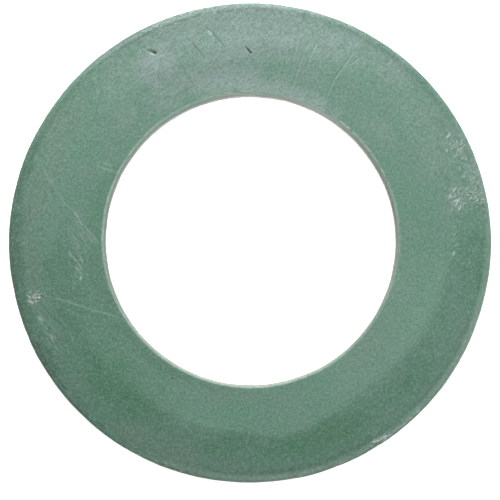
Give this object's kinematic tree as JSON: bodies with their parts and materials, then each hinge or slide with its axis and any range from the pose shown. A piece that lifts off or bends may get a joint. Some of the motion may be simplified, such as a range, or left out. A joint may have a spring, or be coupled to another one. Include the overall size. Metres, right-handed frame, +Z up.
{
  "type": "floral foam ring",
  "caption": "Flat ring of wet floral foam with a sloped shoulder and rounded rim, bonded to a rigid polystyrene base, for fresh-flower wreaths.",
  "frame": {"origin": "centre of the ring, on its underside", "axes": "+Z up along the ring's axis, from the polystyrene base to the foam's top; X and Y lie in the underside"},
  "size_m": [0.305, 0.305, 0.045],
  "materials": {
    "wet_foam": "matte",
    "adhesive": "satin",
    "polystyrene": "matte"
  },
  "bodies": {
    "root": {"foam_ring": "wet_foam", "adhesive_film": "adhesive", "base_ring": "polystyrene"}
  },
  "joints": []
}
